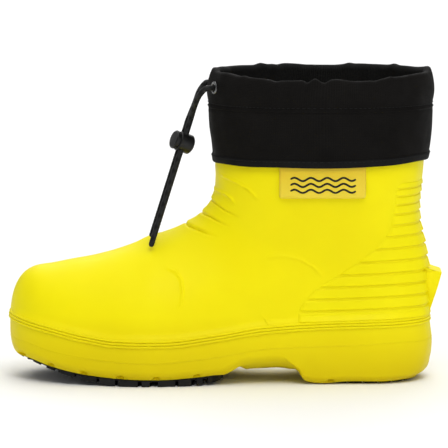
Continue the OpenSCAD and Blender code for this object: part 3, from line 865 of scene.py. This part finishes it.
def make_shell():
    toe = TOE_X + np.array([0.05, 0.2, 0.5, 1, 1.6, 2.4, 3.4, 4.5, 5.8, 7.2, 8.8, 10.5, 12.4, 14.5])
    toe = np.concatenate([toe, np.arange(-137.5, PIVOT[0] - 0.2, 1.1)])
    spur = np.array([SPUR_LOW, SPUR_HIGH, SPUR_HIGH + 0.04])
    fan = np.unique(np.concatenate([np.arange(0, 90.01, 0.25), spur]))
    sections = np.concatenate([(toe - PIVOT[0]) * TOE_PITCH, fan])
    outside = moulded(shell_grid(sections, 190, 24, 0))
    inner_toe = TOE_X + 1.5 * WALL + np.array([0.3, 1.2, 3, 6, 10, 15, 22, 30, 40, 52, 64, 76, 88, 98])
    inner_sections = np.concatenate([(inner_toe - PIVOT[0]) * TOE_PITCH, np.arange(0, 90.01, 1.5)])
    inside = shell_grid(inner_sections, 45, 10, WALL)

    parts = Parts()
    rows, columns = outside.shape[:2]
    faces = grid_faces(rows, columns, wrap_columns=True).tolist()
    faces.append(list(range(columns)))
    parts.add(outside, faces)
    faces = grid_faces(inside.shape[0], inside.shape[1], wrap_columns=True)[:, ::-1].tolist()
    faces.append(list(range(inside.shape[1]))[::-1])
    parts.add(inside, faces)
    # the rim between the two skins, hidden in the cuff
    spread = np.linspace(0, inside.shape[1], columns, endpoint=False)
    matched = inside[-1][np.round(spread).astype(int) % inside.shape[1]]
    parts.add(np.stack([outside[-1], matched]), grid_faces(2, columns, wrap_columns=True).tolist())
    for k in range(3):
        line = outline_at(lambda x, k=k: curve(x, WELT) + 0.2 - 1.95 * k, 700, 0.3 if k else 0.0)
        parts.tube(line, 0.95, 12, closed=True, up=(0, 0, 1))
    line = outline_at(lambda x: curve(x, PARTING), 700, -0.12)
    parts.tube(line, 0.38, 8, closed=True, up=(0, 0, 1))
    for low, high in zip(RIB_LEVELS[:-1], RIB_LEVELS[1:]):
        grid = rib_grid(low, high)
        parts.add(grid, grid_faces(*grid.shape[:2]).tolist())
    shell = parts.piece("foam_shell", FOAM)
    shell.data.set_sharp_from_angle(angle=math.radians(42))
    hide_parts("boot_shell")


make_shell()


# ---------------------------------------------------------------- cuff
CLOTH = 0.8  # how thick the cloth is
CUFF_ROUND = 0.43  # the way round the cuff that its texture spans, in metres
CUFF_COLUMNS = 720
STITCHES = 150
HEM_ROW = 159.3  # height of the hem's row of stitches
rng = np.random.default_rng(7)
FOLDS = [(rng.uniform(0, 360), rng.uniform(5, 14), rng.uniform(-1, 1)) for _ in range(34)]
# Deeper gathers of the tunnel: angle, width in degrees, depth.
GATHERS = [
    (97, 3.0, -2.2), (84, 2.6, -2.0), (64, 4.0, -1.6), (118, 3.0, -1.8), (272, 3.0, -1.5), (262, 2.5, -1.2),
    (286, 5.0, 1.2), (40, 5, -1.4), (320, 6, -1.2), (225, 6, 1.0), (180, 9, 2.6), (0, 8, 1.4),
]
# Small pinches that raise or drop the rim: angle, width in degrees, height.
PINCHES = [
    (263.4, 1.7, -1.9), (266.8, 1.3, 0.9), (270.3, 1.7, -2.2), (276, 3, 0.7), (247, 2.5, -0.9), (123, 3, 1.2),
    (112, 2.5, -0.8), (47, 3, 0.9), (296, 3, -0.8), (306, 2.5, 0.6), (77, 2.2, 0.8), (226, 2.5, 0.7),
]


def turn_from(a, b):
    return (a - b + 180) % 360 - 180


def cuff_wrinkle(a, z):
    """How far the cuff's cloth stands in or out at angle a and height z."""
    w = np.zeros(np.broadcast(a, z).shape)
    for place, wide, deep in FOLDS:
        lean = (z - 196) * 0.25 * math.copysign(1, deep)
        w += 0.55 * deep * np.exp(-((turn_from(a, place + lean) / wide) ** 2))
    high = ease(190, 216, z)
    low = 1 - ease(158, 176, z)
    w = w * (0.35 + 0.9 * high) * (1 - 0.8 * low)
    for place, wide, deep in GATHERS:
        w += deep * high * np.exp(-((turn_from(a, place) / wide) ** 2))
    return w


def rim_height(a):
    """The rim is a little lower on the sides than at the front and back, and lifts at the gathers."""
    side = np.abs(np.sin(np.radians(a)))
    ripple = 0.7 * np.sin(np.radians(a * 7 + 20)) + 0.5 * np.sin(np.radians(a * 11))
    peak = 1.6 * np.exp(-((turn_from(a, 182) / 6) ** 2)) + 1.4 * np.exp(-((turn_from(a, 2) / 6) ** 2))
    pinch = 0
    for place, wide, tall in PINCHES:
        pinch = pinch + tall * np.exp(-((turn_from(a, place) / wide) ** 2))
    return 0.4 - 2.6 * side**2 * (np.sin(np.radians(a)) < 0) - 0.9 * side**2 + 0.6 * ripple + peak + pinch


def hem_lift(a):
    """The hem rides up towards the heel."""
    return 0.8 + 2.2 * ease(0.2, 1, np.cos(np.radians(a)))


def cuff_sheet(name, profile, lift=0.0):
    """A folded sheet round the cuff. profile is (z, out) points along the cloth, and it is CLOTH thick."""
    p = np.array(profile, float)
    t = np.gradient(p, axis=0)
    t /= np.linalg.norm(t, axis=1, keepdims=True)
    back = p + CLOTH * np.stack([t[:, 1], -t[:, 0]], 1)
    loop = np.concatenate([p, back[::-1]])
    a = np.arange(CUFF_COLUMNS) * 360 / CUFF_COLUMNS
    z, out = loop[:, 0][:, None], loop[:, 1][:, None]
    raised = z + lift * ease(200, RIM_Z, z) * rim_height(a)[None, :]
    raised = raised + (1 - ease(157, 185, z)) * hem_lift(a)[None, :]
    grid = cuff_point(a[None, :] + 0 * z, raised, out + cuff_wrinkle(a[None, :], z))
    run = np.concatenate([[0], np.cumsum(np.linalg.norm(np.diff(loop, axis=0), axis=1))])
    uv = np.stack(np.broadcast_arrays(a[None, :] / 360 * CUFF_ROUND, run[:, None] * MM), -1)
    faces = grid_faces(*grid.shape[:2], wrap_rows=True, wrap_columns=True)
    return outward(make_piece(name, grid.reshape(-1, 3), faces.tolist(), NYLON, uv=uv.reshape(-1, 2)))


def round_length(z, out):
    ring = cuff_point(np.arange(720) / 2.0, float(z), out)
    return float(np.linalg.norm(np.roll(ring, -1, 0) - ring, axis=1).sum()) * MM


def fine(points, step):
    """Points along a bent line, no further apart than step."""
    p = np.array(points, float)
    out = [p[0]]
    for a, b in zip(p[:-1], p[1:]):
        n = max(1, math.ceil(np.linalg.norm(b - a) / step))
        out += [a + (b - a) * k / n for k in range(1, n + 1)]
    return out


def make_cuff():
    band = fine([(156.6, -0.35), (165, -0.1), (180, 0.1), (192, 0.05), (SEAM_Z + 1.5, -0.5)], 1.0)
    piece = cuff_sheet("cuff_lower_band", band)
    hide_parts("cuff_band")
    round_length(176, 0)

    bulged = [(z, float(tunnel_bulge(z)) - TUNNEL_IN) for z in np.arange(SEAM_Z + 0.6, 217.6, 1.0)]
    turn = [
        (218.4, -0.75), (219.2, -0.95), (219.9, -1.4), (220.4, -2.1), (220.6, -3), (220.5, -4), (220.1, -5),
        (219.4, -6), (218.4, -6.7),
    ]
    inside = [(z, -TUNNEL_D + 0.9) for z in np.arange(217.4, SEAM_Z - 0.2, -1.2)]
    tunnel = [(SEAM_Z - 1.2, -0.1), (SEAM_Z - 0.4, 0.35), (SEAM_Z + 0.2, -0.4), *bulged, *turn, *inside]
    piece = cuff_sheet("cuff_drawcord_tunnel", tunnel, lift=1.0)
    piece.data.materials.append(LINING)
    paint_inside(piece, -4.0)
    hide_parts("cuff_tunnel")
    round_length(208, 0)


def paint_inside(piece, out):
    """Faces further in than out, against the cuff's own outline, take the piece's second material."""
    mesh = piece.data
    middles = np.empty(len(mesh.polygons) * 3)
    mesh.polygons.foreach_get("center", middles)
    c = middles.reshape(-1, 3) / MM
    centre_x = (curve(c[:, 2], CUFF_FRONT) + curve(c[:, 2], CUFF_BACK)) / 2
    long = (curve(c[:, 2], CUFF_BACK) - curve(c[:, 2], CUFF_FRONT)) / 2 + out
    wide = curve(c[:, 2], CUFF_HALF) + out
    inside = np.abs((c[:, 0] - centre_x) / long) ** CUFF_POWER + np.abs(c[:, 1] / wide) ** CUFF_POWER < 1
    mesh.polygons.foreach_set("material_index", inside.astype(np.int32))


def make_lining():
    """A sleeve from inside the tunnel down into the shell, with soft gathers."""
    columns = 360
    a = 180 + 360 * np.arange(columns) / columns
    upper = [
        (202, 7.15), (199, 7.15), (196, 7.15), (193, 7.3), (190, 7.6), (186, 7.9), (182, 8.0), (178, 8.2),
        (174, 8.5), (171, 8.7),
    ]
    rings = [cuff_point(a, z, -d + cuff_wrinkle(a, float(z)) * float(ease(184, 196, z))) for z, d in upper]
    angle = np.radians(360 * np.arange(columns) / columns)
    c, k = np.cos(angle), np.sin(angle)
    u = (1 - np.sign(c) * np.abs(c) ** (2 / CUFF_POWER)) / 2
    for s in np.arange(90, 73.9, -2.0):
        skin = WALL + 1.0
        near, far = near_r(np.array(s), skin), far_r(np.array(s), skin)
        r = mix(near, far, u)
        x, z = spot(np.array(s), r)
        half = half_width(np.full(columns, s), np.minimum(r, far - 0.05), skin)
        half[[0, columns // 2]] = 0
        rings.append(np.stack([x, -np.sign(k) * half, z], 1))
    front = np.array(rings)
    inward = front.copy()
    middle = np.array((67.0, 0))
    flat = middle - front[..., :2]
    inward[..., :2] += flat / np.linalg.norm(flat, axis=-1, keepdims=True) * CLOTH
    loop = np.concatenate([front, inward[::-1]])
    run = np.linspace(0, 0.12, len(loop))
    uv = np.stack(np.broadcast_arrays(np.arange(columns)[None, :] / columns * 0.4, run[:, None]), -1)
    faces = grid_faces(len(loop), columns, True, True).tolist()
    piece = outward(make_piece("cuff_lining_sleeve", loop.reshape(-1, 3), faces, LINING, uv=uv.reshape(-1, 2)))
    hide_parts("cuff_lining")


def make_binding():
    """The narrow folded tape round the hem."""
    t = np.linspace(0, 2 * np.pi, 14, endpoint=False)
    profile = [(157.8 + 2.6 * math.sin(v), 0.05 + 0.45 * math.cos(v)) for v in t]
    a = np.arange(CUFF_COLUMNS) * 360 / CUFF_COLUMNS
    z = np.array([p[0] for p in profile])[:, None] + (hem_lift(a) + 0.2 * np.sin(np.radians(a * 9)))[None, :]
    out = np.array([p[1] for p in profile])[:, None] + 0 * a[None, :]
    grid = cuff_point(a[None, :] + 0 * z, z, out)
    uv = np.stack(np.broadcast_arrays(a[None, :] / 360 * CUFF_ROUND, t[:, None] * MM), -1)
    faces = grid_faces(*grid.shape[:2], wrap_rows=True, wrap_columns=True).tolist()
    piece = outward(make_piece("hem_tape", grid.reshape(-1, 3), faces, TAPE, uv=uv.reshape(-1, 2)))
    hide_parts("hem_binding")


# One stitch: where its points lie within its share of the row, how far they stand out, and their radii.
BEAD_AT = np.array([0.14, 0.32, 0.5, 0.68, 0.86])
BEAD_OUT = np.array([-0.35, 0.12, 0.2, 0.12, -0.35])
BEAD_RADIUS = np.array([0.12, 0.24, 0.26, 0.24, 0.12])


def stitch_row(parts, height, out, wrinkles, count, lift):
    """A row of short stitches round the cuff, which may follow its wrinkles and its hem."""
    gap = 360 / count
    for i in range(count):
        a = (i + BEAD_AT) * gap
        away = wrinkles * cuff_wrinkle(a, np.full(len(a), height)) + BEAD_OUT
        line = cuff_point(a, height + lift * hem_lift(a), out + away)
        parts.tube(line, BEAD_RADIUS, 6, up=(0, 0, 1))


def make_stitches():
    parts = Parts()
    seam_row = SEAM_Z + 2.2
    stitch_row(parts, seam_row, float(tunnel_bulge(seam_row)) - TUNNEL_IN, 1.0, STITCHES, 0)
    stitch_row(parts, HEM_ROW, 0.4, 0.0, STITCHES, 1)
    piece = outward(parts.piece("cuff_stitches", THREAD))


make_cuff()
make_lining()
make_binding()
make_stitches()


# ---------------------------------------------------------------- label
def label_gap(z):
    return mix(2.2, 0.7, ease(136, 156, z))


def side_skin(x, z, off):
    return np.stack([x, middle_at(x, z) - side_at(x, z) - label_gap(z) - off, z], -1)


def make_label():
    """A soft plastic tab with rounded lower corners, tucked under the hem."""
    nx, nz = 60, 26
    u = np.linspace(0, 1, nx)[:, None]
    v = np.linspace(0, 1, nz)[None, :]
    low, high, left, right = 134.1, 163.5, 38.2, 99.2
    corner = 1.2
    z0 = mix(low, high, v)
    pull = corner - np.sqrt(np.maximum(0, corner**2 - np.maximum(0, corner - (z0 - low)) ** 2))
    x = mix(left + pull, right - pull, u)
    z = z0 + 0 * u
    edge = np.minimum(np.minimum(x - left, right - x), z - low)
    thick = 0.25 + 0.7 * ease(0, 0.9, edge)
    sag = 0.35 * np.sin(np.pi * 3 * u) * (1 - v)
    front, rear = side_skin(x, z, thick + sag), side_skin(x, z, 0.05 + sag)
    grid = np.concatenate([front, rear[:, ::-1]], 1)
    piece = outward(make_piece("side_label_tab", grid.reshape(-1, 3), capped_faces(nx, 2 * nz), LABEL))
    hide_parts("side_label")


def make_mark():
    """A generic mark: three wave lines."""
    parts = Parts()
    for base in (139.6, 143.8, 148.0):
        x = np.linspace(46, 92, 140)
        z = base + 1.15 * np.sin((x - 46) * 2 * np.pi / 11.5)
        line = side_skin(x, z, 1.0)
        sag = 0.35 * np.sin(np.pi * 3 * (x - 39.1) / 59.8) * (1 - (z - 134.1) / 29.4)
        line[:, 1] -= sag
        width = 0.72 * np.minimum(1, np.minimum(x - 45.6, 92.4 - x) / 1.2) ** 0.5
        rings = tube_rings(line, 1.0, 10, up=(0, 1, 0))
        flat = line[:, None] + (rings - line[:, None]) * width[:, None, None]
        flat[..., 1] = line[:, None, 1] + (flat[..., 1] - line[:, None, 1]) * 0.3
        parts.add(flat, capped_faces(len(x), 10))
    piece = outward(parts.piece("wave_mark", INK))
    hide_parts("label_mark")


make_label()
make_mark()


# ---------------------------------------------------------------- footbed
def make_footbed():
    """A moulded footbed, domed at the edge and cupped at the heel."""
    nx, ny = 120, 48
    x = np.linspace(-131.5, 125, nx)[:, None]
    y = np.linspace(-1, 1, ny)[None, :]
    low = curve(x, INSOLE_LINE) + 0.9 + 2 * ease(112, 128, x)
    tall = 4.9 * (1 - 0.55 * ease(-110, -138, x))
    ends = np.minimum(dome((x + 132) / 9, 2), dome((125.6 - x) / 9, 2))
    half = (side_at(x, low + 2, WALL + 1) - 1.2) * (0.75 + 0.25 * ends)
    half = np.minimum(half, side_at(x, low + 0.8, WALL + 1) - 0.3)
    cup = -0.9 * (1 - np.abs(y) ** 3) * ease(40, 90, x)
    edge = np.sqrt(np.maximum(0, 1 - np.abs(y) ** 10))
    top = low + tall * (0.35 + 0.65 * edge) + cup
    mid = middle_at(x, low)
    upper = np.stack(np.broadcast_arrays(x, mid + y * half, top), -1)
    lower = np.stack(np.broadcast_arrays(x, mid + y * (half - 0.6), low), -1)[:, ::-1]
    grid = np.concatenate([upper, lower], 1)
    piece = outward(make_piece("moulded_footbed", grid.reshape(-1, 3), capped_faces(nx, 2 * ny), FOOTBED))
    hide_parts("footbed")


make_footbed()


# ---------------------------------------------------------------- CAD nodes that stay
def dress(node, material, sharp=35):
    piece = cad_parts[node]
    piece.data.materials.clear()
    piece.data.materials.append(material)
    bevel = piece.modifiers.new("soft_edges", "BEVEL")
    bevel.width = 0.25 * MM
    bevel.segments = 2
    bevel.limit_method = "ANGLE"
    bevel.angle_limit = math.radians(sharp)


dress("forefoot_tread", RUBBER)
dress("heel_tread", RUBBER)
dress("cord_lock_barrel", PLASTIC)
dress("cord_lock_button", PLASTIC)
dress("cord_lock_spring", STEEL, 80)
dress("drawcord_in_tunnel", CORD, 80)
for where in ("outer_side", "inner_side"):
    dress(f"eyelet_{where}", EYELET)
    dress(f"eyelet_washer_{where}", EYELET)
